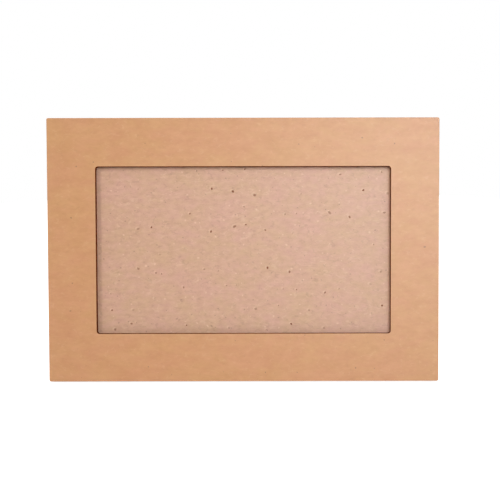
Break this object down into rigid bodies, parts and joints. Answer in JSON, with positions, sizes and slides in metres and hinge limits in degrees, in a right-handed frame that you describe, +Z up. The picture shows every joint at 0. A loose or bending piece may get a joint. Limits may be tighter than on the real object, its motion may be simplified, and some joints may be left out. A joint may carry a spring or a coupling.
{
  "type": "cardboard photo frame",
  "caption": "Cardboard photo frame with a kraft front mat, a recycled chipboard back and a scored card easel strut it stands on.",
  "frame": {"origin": "centre of the standing frame's footprint, on the surface that it stands on", "axes": "+X to the right of a viewer in front of the window, +Y away from that viewer, +Z up; the boards lean back 14 degrees"},
  "size_m": [0.19, 0.06, 0.1255],
  "materials": {
    "kraft_board": "matte",
    "recycled_board": "matte",
    "strut_card": "matte"
  },
  "bodies": {
    "root": {"front_mat": "kraft_board", "spacer_left": "recycled_board", "spacer_right": "recycled_board", "spacer_bottom": "recycled_board", "backing_board": "recycled_board", "easel_strut": "strut_card"}
  },
  "joints": []
}
